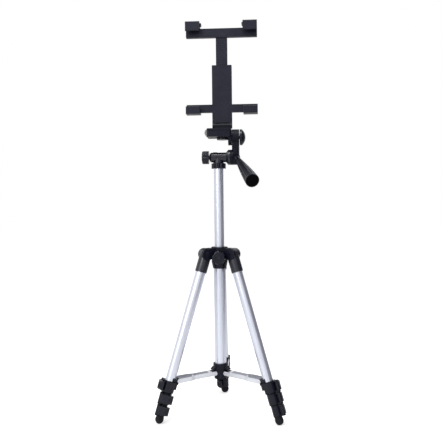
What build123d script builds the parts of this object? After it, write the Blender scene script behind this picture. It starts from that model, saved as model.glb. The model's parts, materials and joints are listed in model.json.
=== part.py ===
import math
import os

from build123d import *

# Lengths in millimetres. The origin is on the column's axis at floor level,
# +Z is up, +Y points to the rear leg and the handle points to -Y.

# Fits, shared by every piece
run_fit = 0.08
seat_fit = 0.02
air_gap = 0.3
overrun = 20.0
edge_round = 0.8
pin_radius = 1.6

# Legs
leg_azimuths = (90, 210, 330)
leg_tilt = 18.07
hinge_radius = 24.1
hinge_height = 251.0
section_count = 4
tube_radius = 7.65
tube_wall = 0.7
tube_inset = 1.45
bush_length = 10.0
stop_gap = 2.0
elbow_radius = 9.7
tongue_half = 5.8
socket_radius = 9.2
socket_length = 29.0
tube_top = 11.0

# Leg locks and their levers
lock_pitch = 17.5
lock_wall = 2.0
lock_seat = 11.0
lock_flat = 8.4
lock_lug_plate = 2.0
lug_half = 4.0
finger_gap = 1.6
lever_standoff = 7.0
lever_pin_angle = 31
lever_tip_angle = -52
lever_turns = ((0, 0, -90), (31, -61, -61), (-31, -31, -31))

# Feet
foot_radius = 6.4
foot_neck = 5.7
foot_socket = 8.0
foot_neck_length = 1.2
foot_drop = 6.19
sole_along = (hinge_height - foot_radius) / math.cos(math.radians(leg_tilt))
foot_start = sole_along - foot_drop
lock_start = foot_start - lock_pitch * (section_count - 1)
travel_margin = 28.6
section_travel = lock_start - travel_margin

# Spreader, its hub and its braces
guide_radius = 9.0
guide_wall = 0.9
core_radius = 10.3
collar_radius = 11.9
bracket_offset = 11.0
bracket_rise = 3.6
bracket_along = lock_start - bracket_rise
bracket_drop = bracket_along * math.cos(math.radians(leg_tilt))
bracket_drop += bracket_offset * math.sin(math.radians(leg_tilt))
bracket_height = hinge_height - bracket_drop
brace_pivot_radius = 12.5
brace_pivot_rise = 2.494
brace_pivot_height = bracket_height + brace_pivot_rise
guide_reach = 7.7
guide_bottom = brace_pivot_height - guide_reach
core_reach = 9.7
core_bottom = brace_pivot_height - core_reach
collar_rise = 5.8
collar_bottom = brace_pivot_height + collar_rise
collar_length = 8.5
collar_top = collar_bottom + collar_length
brace_half = 6.7
brace_wall = 0.7
web_rise = 3.0
tine_drop = 3.4
web_setback = 4.6
fork_length = 20.0
flare_length = 7.0
fork_gap = 0.25
rivet_head = 1.9
rivet_head_height = 0.6
rivet_hole = 0.9
ear_reach = 3.0
wing_reach = 15.9
wing_half = 4.5

# Main hub and column
ring_radius = 13.0
ring_rise = 11.0
ring_top = hinge_height + ring_rise
ring_height = 5.0
hub_radius = 12.6
shelf_drop = 13.0
hub_shelf = hinge_height - shelf_drop
hub_nose_length = 10.0
hub_bottom = hub_shelf - hub_nose_length
hub_nose_radius = 10.4
guide_drop = 7.6
guide_top = hinge_height - guide_drop
ear_radius = 9.2
ear_outer = 9.0
ear_web_drop = 4.0
boss_radius = 5.5
boss_reach = 17.0
boss_drop = 4.6
boss_height = hinge_height - boss_drop
post_radius = 7.5
post_wall = 0.8
post_tail = 71.0
post_bottom = hinge_height - post_tail
post_reach = 136.0
post_top = hinge_height + post_reach
lock_knob_radius = 10.6
lock_knob_thick = 8.5
lock_knob_gap = 1.0
lock_screw_radius = 2.5
lobe_count = 5
lobe_radius = 5.6

# Column cap and pan base
cap_overlap = 2.0
cap_bottom = post_top - cap_overlap
cap_length = 8.9
cap_top = cap_bottom + cap_length
cap_radius = 11.4
cap_core_radius = 8.9
cap_plug_length = 16.0
cap_flutes = 10
cap_flute_radius = 2.4
spigot_radius = 4.0
spigot_length = 15.0
barrel_radius = 7.8
barrel_rise = 8.8
barrel_height = cap_top + barrel_rise
barrel_left = -13.7
flare_left = 12.0
flare_right = 15.4
tilt_seam = 18.4
tilt_radius = 12.0
neck_radius = 7.0
bulge_radius = 8.4
bulge_left = -8.5
bulge_right = -2.0
pan_knob_left = -25.9
pan_knob_right = -15.2
pan_knob_radius = 10.3
pan_knob_flutes = 12
pan_knob_dome = 2.2
flute_radius = 1.6
tilt_spigot_radius = 4.0
tilt_spigot_left = 8.0

# Tilt body and its arm
body_left = 23.0
body_right = 32.7
body_below = 11.2
body_bottom = barrel_height - body_below
body_above = 13.9
body_top = barrel_height + body_above
body_half = 11.0
body_round = 3.0
arm_left = 21.6
arm_half = 9.5
arm_rise = 31.3
upper_axis_height = barrel_height + arm_rise
upper_radius = 12.6
flange_left = 15.7
flange_right = 20.9
dome_knob_right = 42.8
dome_rim = 3.4
flip_pin_radius = 3.0

# Pan handle
handle_right = 27.0
handle_front = -8.0
handle_rise = 1.3
handle_root = (handle_right, handle_front, barrel_height + handle_rise)
handle_side = 15.3
handle_droop = 22.0
handle_length = 111.5
handle_rod_radius = 3.0
handle_socket = 9.0
grip_start = 7.5
grip_neck_radius = 4.3
grip_neck_share = 0.1973
grip_neck_length = handle_length * grip_neck_share
grip_swell_radius = 7.6
grip_swell_share = 0.556
grip_swell_at = handle_length * grip_swell_share
grip_end_radius = 10.0
grip_flutes = 14
grip_flute_radius = 0.8
end_cap_length = 4.0
rod_margin = 8.0
rod_depth = grip_swell_at + rod_margin

# Platform, release wheel and camera screw
platform_left = -17.0
platform_right = 20.9
platform_bottom = upper_axis_height
platform_thick = 13.0
platform_top = platform_bottom + platform_thick
platform_half = 19.0
platform_round = 3.0
seam_rise = 9.0
plate_seam = platform_bottom + seam_rise
seam_depth = 0.6
seam_height = 0.8
wheel_radius = 6.8
wheel_left = -14.4
wheel_rise = 6.9
wheel_center = (wheel_left, platform_bottom + wheel_rise)
wheel_half = 9.0
wheel_flutes = 14
screw_axis = 6.5
screw_thread_radius = 3.1
screw_disc_radius = 8.8
screw_disc_height = 3.6
screw_flutes = 16

# Tablet holder, centred on the camera screw's axis
fold_rise = 5.4
fold_height = platform_top + fold_rise
foot_half = 13.0
foot_depth = 9.0
foot_flange = 1.8
barrel_fold_radius = 4.4
plate_half = 15.6
plate_rise = 5.0
plate_start = fold_height + plate_rise
plate_front = -2.6
plate_back = 4.4
channel_length = 90.6
channel_top = plate_start + channel_length
channel_floor_rise = 2.1
channel_floor = plate_start + channel_floor_rise
tongue_width_half = 9.0
tongue_front = -1.0
tongue_back = 2.0
slide_down = 15.0
slide_stop = 1.5
tongue_bottom = channel_floor + slide_down + slide_stop
bar_half = 56.1
lower_bar_rise = 16.2
lower_bar_bottom = plate_start + lower_bar_rise
lower_bar_width = 12.4
lower_bar_top = lower_bar_bottom + lower_bar_width
upper_bar_rise = 44.0
upper_bar_bottom = channel_top + upper_bar_rise
upper_bar_width = 14.0
upper_bar_top = upper_bar_bottom + upper_bar_width
hook_offset = 44.9
hook_half = 11.2
lip_front = -16.0
lip_thick = 3.0
lower_jaw_thick = 3.3
lower_face = lower_bar_bottom
lower_jaw_bottom = lower_face - lower_jaw_thick
lower_lip_reach = 8.4
lower_lip_top = lower_face + lower_lip_reach
upper_face_rise = 4.4
upper_face = upper_bar_top + upper_face_rise
upper_lip_reach = 10.4
upper_lip_bottom = upper_face - upper_lip_reach
upper_jaw_thick = 4.9
upper_jaw_top = upper_face + upper_jaw_thick
ridge_height = 0.9
ridge_width = 2.2
pad_thick = 1.0
pad_inset = 1.6
pad_setback = 2.2
gusset = 3.5


def rod(radius, low, high):
    # A cylinder on the Z axis from one height to another
    grow = (Align.CENTER, Align.CENTER, Align.MIN)
    return Pos(0, 0, low) * Cylinder(radius, high - low, align=grow)


def rod_x(radius, low, high, y, z):
    return Pos(0, y, z) * Rot(0, 90, 0) * rod(radius, low, high)


def rod_y(radius, low, high, x, z):
    return Pos(x, 0, z) * Rot(-90, 0, 0) * rod(radius, low, high)


def block(x_span, y_span, z_span):
    # A box from its low and high limit along each axis
    corner = Pos(x_span[0], y_span[0], z_span[0])
    size = (x_span[1] - x_span[0], y_span[1] - y_span[0], z_span[1] - z_span[0])
    return corner * Box(*size, align=(Align.MIN, Align.MIN, Align.MIN))


def turned(points):
    # A solid of revolution from an outline of radius and height
    outline = make_face(Polyline(*points, close=True))
    return revolve(Plane.XZ * outline, Axis.Z)


def fluted(solid, radius, count, flute, low, high):
    # Cuts round flutes along the edge of a turned piece on the Z axis
    cutter = Pos(radius, 0, 0) * rod(flute, low - overrun, high + overrun)
    for turn in range(count):
        solid -= Rot(0, 0, turn * 360 / count) * cutter
    return solid


def leg_frame(azimuth):
    # Origin at the leg's hinge, +Z down along the leg, +X on its outer side
    around = math.radians(azimuth)
    tilt = math.radians(leg_tilt)
    out = (math.cos(around), math.sin(around))
    origin = (hinge_radius * out[0], hinge_radius * out[1], hinge_height)
    along = (math.sin(tilt) * out[0], math.sin(tilt) * out[1], -math.cos(tilt))
    side = (math.cos(tilt) * out[0], math.cos(tilt) * out[1], math.sin(tilt))
    return Plane(origin=origin, x_dir=side, z_dir=along).location


def section_radius(section):
    return tube_radius - section * tube_inset


def lock_top(section):
    return lock_start + section * lock_pitch


def lock_radius(section):
    return section_radius(section) + lock_wall


def section_end(section):
    # The lowest section ends inside the foot, the others inside their lock
    if section == section_count - 1:
        return foot_start + foot_socket
    return lock_top(section) + lock_seat


def section_top(section):
    if section == 0:
        return tube_top
    stops = bush_length + stop_gap + section_travel
    return section_end(section - 1) - stops


def leg_shoulder():
    body = rod(socket_radius, 0, socket_length)
    body += rod_y(elbow_radius, -tongue_half, tongue_half, 0, 0)
    reach = socket_radius + overrun
    slot = ear_radius + air_gap
    body -= rod_y(slot, tongue_half, reach, 0, 0)
    body -= rod_y(slot, -reach, -tongue_half, 0, 0)
    rim = body.edges().filter_by(GeomType.CIRCLE).sort_by(Axis.Z)[-1]
    body = fillet(rim, edge_round)
    body -= rod(tube_radius + seat_fit, tube_top, socket_length + overrun)
    return body - rod_y(pin_radius + run_fit, -reach, reach, 0, 0)


def leg_tube(section):
    # A thin tube, and on the sliding sections a guide bush at its top
    outer = section_radius(section)
    top = section_top(section)
    tube = rod(outer, top, section_end(section))
    tube -= rod(outer - tube_wall, top - overrun, section_end(section) + overrun)
    if section == 0:
        return tube
    bush = rod(section_radius(section - 1) - tube_wall - run_fit, top, top + bush_length)
    bush -= rod(outer + seat_fit, top - overrun, top + bush_length + overrun)
    return Compound(children=[tube, bush])


def lever_pin_place(section):
    reach = lock_radius(section) + finger_gap + lever_thick(section) / 2
    angle = math.radians(lever_pin_angle)
    return reach * math.cos(angle), reach * math.sin(angle)


def lever_thick(section):
    return lever_standoff - finger_gap


def leg_lock(section, turn):
    # A clamp collar with a split lug and two plates that hold the lever's pin
    radius = lock_radius(section)
    top = lock_top(section)
    low = top + lock_pitch - air_gap
    pin_x, pin_y = lever_pin_place(section)
    knuckle = lever_thick(section) / 2
    body = rod(radius, top, low)
    lug = block((0, radius + finger_gap), (-lug_half, lug_half), (top, low))
    body += lug & rod(radius + finger_gap - air_gap, top, low)
    for start in (top, low - lock_lug_plate):
        plate = Pos(pin_x, pin_y, 0) * rod(knuckle, start, start + lock_lug_plate)
        reach = math.hypot(pin_x, pin_y)
        arm = block((0, reach), (-knuckle, knuckle), (start, start + lock_lug_plate))
        body += plate + Rot(0, 0, lever_pin_angle) * arm
    slit_top = low - lock_pitch / 3
    slit = block((0, radius + overrun), (-air_gap, air_gap), (slit_top, low + overrun))
    body -= slit
    pin = Pos(pin_x, pin_y, 0) * rod(pin_radius, top, low)
    body = Rot(0, 0, turn) * body
    if section == 0:
        body += leg_bracket()
        for side in (-1, 1):
            width = sorted((side * lock_flat, side * (lock_flat + overrun)))
            body -= block((-overrun, ear_reach), width, (top - overrun, low + overrun))
    bore = section_radius(section) + seat_fit
    body -= rod(bore, top - overrun, top + lock_seat)
    body -= rod(section_radius(section + 1) + run_fit, top - overrun, low + overrun)
    return body + Rot(0, 0, turn) * pin


def leg_bracket():
    # The block that the brace's fork stands astride
    half = lock_flat - fork_gap
    top = bracket_along - pin_radius
    low = lock_start + ear_reach
    web = block((-bracket_offset, -tube_radius / 2), (-half, half), (top, low))
    foot = block((-lock_radius(0), 0), (-half, half), (top, lock_start + lock_seat))
    nose = rod_y(ear_reach, -half, half, -bracket_offset, bracket_along)
    return web + foot + nose


def leg_lever(section, turn):
    # A curved finger plate with a knuckle round the pin and a rounded tip
    inner = lock_radius(section) + finger_gap
    outer = inner + lever_thick(section)
    middle = (inner + outer) / 2
    knuckle = lever_thick(section) / 2
    top = lock_top(section) + lock_lug_plate + air_gap
    low = lock_top(section) + lock_pitch - air_gap - lock_lug_plate - air_gap
    pin_x, pin_y = lever_pin_place(section)
    plate = rod(outer, top, low) - rod(inner, top - overrun, low + overrun)
    keep = Rot(0, 0, lever_tip_angle) * wedge_sector(outer + overrun, top, low)
    plate = plate & keep
    tip_angle = math.radians(lever_tip_angle)
    tip = Pos(middle * math.cos(tip_angle), middle * math.sin(tip_angle), 0) * rod(knuckle, top, low)
    shape = plate + tip + Pos(pin_x, pin_y, 0) * rod(knuckle, top, low)
    shape -= Pos(pin_x, pin_y, 0) * rod(pin_radius + run_fit, top - overrun, low + overrun)
    return Rot(0, 0, turn) * shape


def wedge_sector(radius, low, high):
    # The slice of a disc between the lever's tip and its pin
    sweep = lever_pin_angle - lever_tip_angle
    grow = (Align.NONE, Align.NONE, Align.MIN)
    return Pos(0, 0, low) * Cylinder(radius, high - low, arc_size=sweep, align=grow)


def leg_foot():
    # A rubber bell with a domed sole, moulded round the lowest tube
    last = section_count - 1
    neck = foot_start + foot_neck_length
    body = turned((
        (0, foot_start), (foot_neck, foot_start), (foot_neck, neck),
        (foot_radius, sole_along), (0, sole_along),
    ))
    body += Pos(0, 0, sole_along) * Sphere(foot_radius)
    return body - rod(section_radius(last) + seat_fit, foot_start - overrun, section_end(last) + seat_fit)


def leg_nodes(index, azimuth):
    frame = leg_frame(azimuth)
    name = f"leg_{index + 1}"
    turns = lever_turns[index]
    nodes = {f"{name}_shoulder": leg_shoulder()}
    for section in range(section_count):
        nodes[f"{name}_tube_{section + 1}"] = leg_tube(section)
    for section in range(section_count - 1):
        nodes[f"{name}_lock_{section + 1}"] = leg_lock(section, turns[section])
        nodes[f"{name}_lever_{section + 1}"] = leg_lever(section, turns[section])
    nodes[f"{name}_foot"] = leg_foot()
    return {key: frame * solid for key, solid in nodes.items()}


def around_column(solid):
    # One copy for each leg, of a solid drawn on the +X side
    return [Rot(0, 0, azimuth) * solid for azimuth in leg_azimuths]


def hub_ear(side):
    near = tongue_half + air_gap
    low, high = (near, ear_outer) if side > 0 else (-ear_outer, -near)
    ear = rod_y(ear_radius, low, high, hinge_radius, hinge_height)
    root = hub_nose_radius - edge_round
    web_span = (hinge_height - ear_web_drop, hinge_height + ear_radius)
    return ear + block((root, hinge_radius), (low, high), web_span)


def hub_body():
    # The hub's core with its top ring, three pairs of ears and the knob's boss
    body = turned((
        (0, hub_bottom), (hub_nose_radius, hub_bottom), (hub_radius, hub_shelf),
        (hub_radius, ring_top - ring_height), (ring_radius, ring_top - ring_height),
        (ring_radius, ring_top - edge_round), (ring_radius - edge_round, ring_top), (0, ring_top),
    ))
    for side in (-1, 1):
        for ear in around_column(hub_ear(side)):
            body += ear
    body += rod_y(boss_radius, -boss_reach, -post_radius, 0, boss_height)
    body -= rod(guide_radius + seat_fit, hub_bottom - overrun, guide_top)
    body -= rod(post_radius + run_fit, hub_bottom - overrun, ring_top + overrun)
    body -= rod_y(lock_screw_radius + run_fit, -boss_reach - overrun, 0, 0, boss_height)
    span = ear_outer + overrun
    hole = rod_y(pin_radius + seat_fit, -span, span, hinge_radius, hinge_height)
    for pin_hole in around_column(hole):
        body -= pin_hole
    return body


def leg_pivot_pins():
    pin = rod_y(pin_radius, -ear_outer, ear_outer, hinge_radius, hinge_height)
    return Compound(children=around_column(pin))


def guide_tube():
    tube = rod(guide_radius, guide_bottom, guide_top)
    return tube - rod(guide_radius - guide_wall, guide_bottom - overrun, guide_top + overrun)


def column_lock_knob():
    # A lobed hand knob whose screw presses on the column
    back = boss_reach + lock_knob_gap
    knob = rod(lock_knob_radius, 0, lock_knob_thick)
    rim = knob.edges().sort_by(Axis.Z)[-1]
    knob = fillet(rim, lock_knob_thick / 3)
    spread = lock_knob_radius + lobe_radius * 2 / 3
    knob = fluted(knob, spread, lobe_count, lobe_radius, 0, lock_knob_thick)
    knob += rod(boss_radius, -lock_knob_gap / 2, lock_knob_thick / 2)
    knob += rod(lock_screw_radius, post_radius + air_gap - back, lock_knob_thick / 2)
    return Pos(0, -back, boss_height) * Rot(90, 0, 0) * knob


def spreader_hub():
    # The collar that slides on the guide tube, with one ear for each brace
    body = rod(core_radius, core_bottom, collar_bottom)
    body += rod(collar_radius, collar_bottom, collar_top)
    body = fillet(body.edges().sort_by(Axis.Z)[-1], edge_round)
    ear_half = brace_half - brace_wall - fork_gap
    reach = brace_pivot_radius
    ear = block((0, reach), (-ear_half, ear_half), (brace_pivot_height - ear_reach, collar_bottom))
    tip = rod_y(ear_reach, -ear_half, ear_half, reach, brace_pivot_height)
    block_top = brace_pivot_height + ear_reach
    ear -= block((core_radius, reach + overrun), (-overrun, overrun), (block_top, collar_bottom + overrun))
    slope = make_face(Plane.XZ * Polyline(
        (0, collar_bottom), (wing_reach, collar_bottom - edge_round),
        (wing_reach, collar_bottom), (collar_radius, collar_top - ring_height), (0, collar_top - ring_height),
        close=True,
    ))
    wing = extrude(slope, wing_half, both=True)
    for piece in around_column(ear + tip + wing):
        body += piece
    hole = rod_y(pin_radius + run_fit, -overrun, overrun, reach, brace_pivot_height)
    for pin_hole in around_column(hole):
        body -= pin_hole
    return body - rod(guide_radius + run_fit, core_bottom - overrun, collar_top + overrun)


def bracket_place():
    # Radius and height of the brace's outer pivot on the leg
    tilt = math.radians(leg_tilt)
    radius = hinge_radius + bracket_along * math.sin(tilt) - bracket_offset * math.cos(tilt)
    return radius, bracket_height


def brace_length():
    radius, height = bracket_place()
    return math.hypot(radius - brace_pivot_radius, height - brace_pivot_height)


def brace():
    # A folded channel, open below, whose outer end widens into a fork
    length = brace_length()
    inner = brace_half - brace_wall
    fork_inner = lock_flat + fork_gap
    fork_outer = fork_inner + brace_wall
    fork_start = length - fork_length
    flare_start = fork_start - flare_length
    wall = [(0, inner), (flare_start, inner), (fork_start, fork_inner), (length, fork_inner)]
    skin = [(length, fork_outer), (fork_start, fork_outer), (flare_start, brace_half), (0, brace_half)]
    tine = make_face(Polyline(*(wall + skin), close=True))
    tine = Pos(0, 0, -tine_drop) * extrude(tine, web_rise + tine_drop)
    ends = block((0, length), (-overrun, overrun), (-tine_drop, web_rise))
    radius = (web_rise + tine_drop) / 2
    for end in (0, length):
        ends += rod_y(radius, -overrun, overrun, end, web_rise - radius)
    tine_ends = make_face(Polyline(
        (-radius, inner), (0, inner), (0, brace_half), (-radius, brace_half), close=True,
    ))
    tine += Pos(0, 0, -tine_drop) * extrude(tine_ends, web_rise + tine_drop)
    outer_ends = make_face(Polyline(
        (length, fork_inner), (length + radius, fork_inner),
        (length + radius, fork_outer), (length, fork_outer), close=True,
    ))
    tine += Pos(0, 0, -tine_drop) * extrude(outer_ends, web_rise + tine_drop)
    tine = tine & ends
    channel = tine + tine.mirror(Plane.XZ)
    channel += block((web_setback, flare_start), (-brace_half, brace_half), (web_rise - brace_wall, web_rise))
    for place, half in ((0, brace_half), (length, fork_outer)):
        channel -= rod_y(pin_radius + seat_fit, -half - overrun, half + overrun, place, 0)
    solids = [channel, inner_rivet()]
    for side in (-1, 1):
        rivet = outer_rivet(fork_inner, fork_outer)
        if side < 0:
            rivet = rivet.mirror(Plane.XZ)
        solids.append(Pos(length, 0, 0) * rivet)
    return Compound(children=solids)


def inner_rivet():
    head = brace_half + rivet_head_height
    rivet = rod_y(pin_radius, -head, head, 0, 0)
    for low in (-head, brace_half):
        rivet += rod_y(rivet_head, low, low + rivet_head_height, 0, 0)
    return rivet - rod_y(rivet_hole, -head - overrun, -brace_half, 0, 0)


def outer_rivet(near, far):
    # A short hollow rivet in one tine
    rivet = rod_y(pin_radius, near, far, 0, 0)
    rivet += rod_y(rivet_head, far, far + rivet_head_height, 0, 0)
    return rivet - rod_y(rivet_hole, far, far + overrun, 0, 0)


def brace_nodes():
    radius, height = bracket_place()
    slope = math.degrees(math.atan2(brace_pivot_height - height, radius - brace_pivot_radius))
    placed = Pos(brace_pivot_radius, 0, brace_pivot_height) * Rot(0, slope, 0) * brace()
    return {f"brace_{i + 1}": Rot(0, 0, a) * placed for i, a in enumerate(leg_azimuths)}


def column_tube():
    tube = rod(post_radius, post_bottom, post_top)
    return tube - rod(post_radius - post_wall, post_bottom - overrun, post_top + overrun)


def column_cap():
    # A fluted collar with a plug in the column and a bore for the head's spigot
    ring = rod(cap_radius, cap_bottom, cap_top - edge_round)
    ring = fluted(ring, cap_radius + edge_round, cap_flutes, cap_flute_radius, cap_bottom, cap_top)
    body = ring + rod(cap_core_radius, cap_bottom, cap_top)
    body -= rod(post_radius + seat_fit, cap_bottom - overrun, post_top + seat_fit)
    plug = post_radius - post_wall - seat_fit
    body += rod(plug, cap_bottom - cap_plug_length, cap_top)
    return body - rod(spigot_radius + run_fit, cap_top - spigot_length - air_gap, cap_top + overrun)


def pan_base():
    # A barrel across the column, flared at the end that carries the tilt body
    barrel = turned((
        (0, barrel_left), (barrel_radius - edge_round * 2, barrel_left),
        (barrel_radius, barrel_left + edge_round * 3), (barrel_radius, flare_left),
        (tilt_radius, flare_right), (tilt_radius, tilt_seam), (0, tilt_seam),
    ))
    bulge = rod(bulge_radius, bulge_left, bulge_right)
    bulge = fillet(bulge.edges(), edge_round / 2)
    body = Pos(0, 0, barrel_height) * Rot(0, 90, 0) * (barrel + bulge)
    body += rod(neck_radius + edge_round, cap_top + air_gap, barrel_height)
    body += rod(spigot_radius, cap_top - spigot_length, cap_top + overrun / 2)
    socket_end = tilt_seam + overrun
    body -= rod_x(tilt_spigot_radius + run_fit, tilt_spigot_left - air_gap, socket_end, 0, barrel_height)
    screw_start = barrel_left - overrun
    return body - rod_x(lock_screw_radius + run_fit, screw_start, -spigot_radius, 0, barrel_height)


def pan_lock_knob():
    thick = pan_knob_right - pan_knob_left
    knob = rod(pan_knob_radius, 0, thick)
    knob = fillet(knob.edges().sort_by(Axis.Z)[-1], pan_knob_dome)
    knob = fluted(knob, pan_knob_radius + edge_round, pan_knob_flutes, flute_radius, 0, thick)
    shaft = pan_knob_right + spigot_radius + air_gap
    knob += rod(lock_screw_radius, shaft, thick / 2)
    knob += rod(neck_radius / 2, pan_knob_right - barrel_left + air_gap, thick / 2)
    return Pos(pan_knob_right, 0, barrel_height) * Rot(0, -90, 0) * knob


def handle_direction():
    side = math.radians(handle_side)
    droop = math.radians(handle_droop)
    level = math.cos(droop)
    return level * math.sin(side), -level * math.cos(side), -math.sin(droop)


def handle_frame():
    return Plane(origin=handle_root, x_dir=(0, 0, 1), z_dir=handle_direction()).location


def tilt_body():
    # A boxy clevis beside the pan base, with an arm up to the platform's joint
    body = rod_x(tilt_radius, tilt_seam + air_gap, body_right, 0, barrel_height)
    box = block((body_left, body_right), (-body_half, body_half), (body_bottom, body_top))
    box = fillet(box.edges().filter_by(Axis.Z), body_round)
    arm_span = (body_top - body_round, upper_axis_height)
    arm = block((arm_left, body_right), (-arm_half, arm_half), arm_span)
    head = rod_x(upper_radius, arm_left, body_right, 0, upper_axis_height)
    body += box + arm + head
    body += rod_x(tilt_spigot_radius, tilt_spigot_left, body_right, 0, barrel_height)
    socket = rod(handle_rod_radius + run_fit, -handle_socket, overrun)
    boss = rod(grip_neck_radius + edge_round * 2, -handle_socket, grip_start - air_gap)
    body += handle_frame() * boss
    body -= handle_frame() * socket
    pin_span = (arm_left - overrun, body_right + overrun)
    return body - rod_x(flip_pin_radius + run_fit, *pin_span, 0, upper_axis_height)


def handle_rod():
    return handle_frame() * rod(handle_rod_radius, -handle_socket + air_gap, rod_depth)


def handle_grip():
    # A swelling grip with shallow flutes along it and a plain end
    start, end = grip_start, handle_length
    outline = Plane.XZ * make_face(
        Polyline((0, start), (grip_neck_radius, start), (grip_neck_radius, grip_neck_length))
        + Spline(
            (grip_neck_radius, grip_neck_length), (grip_swell_radius, grip_swell_at),
            (grip_end_radius, end - end_cap_length),
        )
        + Polyline((grip_end_radius, end - end_cap_length), (grip_end_radius, end), (0, end), (0, start))
    )
    body = revolve(outline, Axis.Z)
    low = (grip_neck_radius, grip_neck_length)
    high = (grip_end_radius, end - end_cap_length)
    lean = math.degrees(math.atan2(high[0] - low[0], high[1] - low[1]))
    groove = rod(grip_flute_radius, 0, math.hypot(high[0] - low[0], high[1] - low[1]))
    cutter = Pos(low[0], 0, low[1]) * Rot(0, lean, 0) * groove
    for turn in range(grip_flutes):
        body -= Rot(0, 0, turn * 360 / grip_flutes) * cutter
    body -= rod(handle_rod_radius + seat_fit, start - overrun, rod_depth + seat_fit)
    return handle_frame() * body


def platform():
    # A flat plate with a seam round its top, a hinge flange and a wheel slot
    x_span = (platform_left, platform_right)
    body = block(x_span, (-platform_half, platform_half), (platform_bottom, platform_top))
    body = fillet(body.edges().filter_by(Axis.Z), platform_round)
    wide = platform_half + overrun
    seam = block(
        (platform_left - overrun, platform_right + overrun), (-wide, wide),
        (plate_seam, plate_seam + seam_height),
    )
    seam -= block(
        (platform_left + seam_depth, platform_right - seam_depth),
        (seam_depth - platform_half, platform_half - seam_depth), (platform_bottom, platform_top),
    )
    body -= seam
    flange = rod_x(upper_radius, flange_left, flange_right, 0, upper_axis_height)
    body += flange
    body -= rod_y(wheel_radius + air_gap, -wheel_half - air_gap, wheel_half + air_gap, *wheel_center)
    pin_end = platform_half - edge_round
    body -= rod_y(pin_radius + run_fit, -pin_end, pin_end, *wheel_center)
    pin_span = (flange_left - overrun, flange_right + overrun)
    body -= rod_x(flip_pin_radius + run_fit, *pin_span, 0, upper_axis_height)
    screw_hole = rod(screw_thread_radius + air_gap, platform_bottom - overrun, platform_top + overrun)
    return body - Pos(screw_axis, 0, 0) * screw_hole


def flip_lock_knob():
    # A domed knob on the pin that joins the platform to the arm
    rim = body_right + air_gap + edge_round
    dome = turned((
        (0, rim), (upper_radius, rim), (upper_radius, rim + dome_rim), (0, rim + dome_rim),
    ))
    height = dome_knob_right - rim - dome_rim
    ball = (upper_radius ** 2 + height ** 2) / (2 * height)
    cap = Pos(0, 0, rim + dome_rim + height - ball) * Sphere(ball)
    cap = cap & rod(upper_radius, rim, dome_knob_right)
    knob = dome + cap
    knob += rod(flip_pin_radius, flange_left, rim + dome_rim)
    return Pos(0, 0, upper_axis_height) * Rot(0, 90, 0) * knob


def release_wheel():
    wheel = rod(wheel_radius, -wheel_half, wheel_half)
    place = wheel_radius + edge_round / 2
    wheel = fluted(wheel, place, wheel_flutes, grip_flute_radius, -wheel_half, wheel_half)
    wheel += rod(pin_radius, -platform_half + edge_round * 2, platform_half - edge_round * 2)
    return Pos(wheel_center[0], 0, wheel_center[1]) * Rot(90, 0, 0) * wheel


def camera_screw():
    high = platform_bottom - air_gap
    low = high - screw_disc_height
    disc = rod(screw_disc_radius, low, high)
    disc = fluted(disc, screw_disc_radius + edge_round / 2, screw_flutes, grip_flute_radius, low, high)
    disc += rod(screw_thread_radius, low, plate_start - ear_reach - edge_round)
    return Pos(screw_axis, 0, 0) * disc


def holder_span(half):
    return screw_axis - half, screw_axis + half


def holder_foot():
    # A threaded base with the middle knuckle of the holder's hinge
    flange_span = (platform_top, platform_top + foot_flange)
    base = block(holder_span(foot_half), (-foot_depth, foot_depth), flange_span)
    base = fillet(base.edges().filter_by(Axis.Z), edge_round)
    knuckle = rod_x(barrel_fold_radius, *holder_span(foot_half), 0, fold_height)
    stem_depth = (-barrel_fold_radius, barrel_fold_radius)
    stem = block(holder_span(foot_half), stem_depth, (platform_top, fold_height))
    body = base + knuckle + stem
    body -= Pos(screw_axis, 0, 0) * rod(
        screw_thread_radius + run_fit, platform_top - overrun, plate_start - ear_reach,
    )
    return body - rod_x(pin_radius + run_fit, *holder_span(foot_half + overrun), 0, fold_height)


def hook(side, jaw_span, lip_span, back):
    # A jaw plate with a front lip that wraps round the tablet's edge
    middle = screw_axis + side * hook_offset
    span = (middle - hook_half, middle + hook_half)
    body = block(span, (lip_front, back), jaw_span)
    body += block(span, (lip_front, lip_front + lip_thick), lip_span)
    front = body.faces().sort_by(Axis.Y)[0]
    return fillet(front.edges(), edge_round)


def holder_body():
    # The holder's fixed half: neck, channel, lower bar and lower hooks
    body = block(holder_span(plate_half), (plate_front, plate_back), (plate_start, channel_top))
    body += block(holder_span(bar_half), (plate_front, plate_back), (lower_bar_bottom, lower_bar_top))
    body = fillet(body.edges().filter_by(Axis.Y), edge_round)
    for side in (-1, 1):
        body += hook(side, (lower_jaw_bottom, lower_face), (lower_jaw_bottom, lower_lip_top), plate_back)
        near = foot_half + air_gap / 2
        low, high = (near, plate_half) if side > 0 else (-plate_half, -near)
        ear = rod_x(barrel_fold_radius, screw_axis + low, screw_axis + high, 0, fold_height)
        cheek = block(
            (screw_axis + low, screw_axis + high), (plate_front, plate_back),
            (fold_height, plate_start + edge_round * 2),
        )
        inner = near - ear_reach
        low, high = (inner, plate_half) if side > 0 else (-plate_half, -inner)
        pin = rod_x(pin_radius, screw_axis + low, screw_axis + high, 0, fold_height)
        body += ear + cheek + pin
    slot = block(
        holder_span(tongue_width_half + run_fit), (tongue_front - run_fit, tongue_back + run_fit),
        (channel_floor, channel_top + overrun),
    )
    return body - slot


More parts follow.
